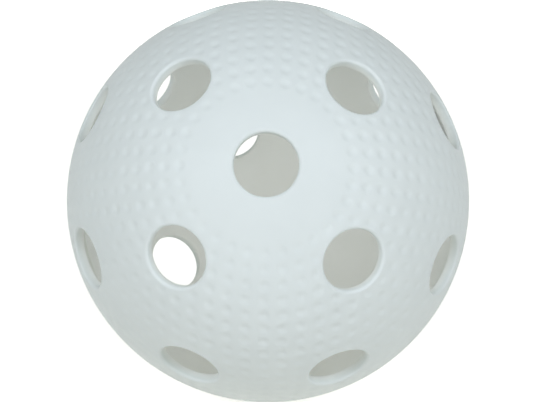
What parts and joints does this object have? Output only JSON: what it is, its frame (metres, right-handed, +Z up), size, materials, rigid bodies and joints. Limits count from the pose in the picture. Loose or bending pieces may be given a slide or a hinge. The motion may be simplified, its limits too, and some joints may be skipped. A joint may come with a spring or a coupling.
{
  "type": "floorball ball",
  "caption": "Hollow white plastic floorball, welded from two moulded half shells with round holes all over, for indoor stick play.",
  "frame": {"origin": "the centre of the ball", "axes": "+Z up, along the axis of the hole that the ball lies on; +X to the right in the seam plane; -Y towards the viewer, with the front half above the seam plane on that side"},
  "size_m": [0.072, 0.072, 0.0716],
  "materials": {
    "front_shell": "satin white moulded polyethylene with shallow dimples",
    "rear_shell": "satin white moulded polyethylene with shallow dimples",
    "weld": "remelted white polyethylene, smooth and a little glossier than the shells"
  },
  "bodies": {
    "root": {"front_half_shell": "front_shell", "rear_half_shell": "rear_shell", "weld_bead": "weld"}
  },
  "joints": []
}
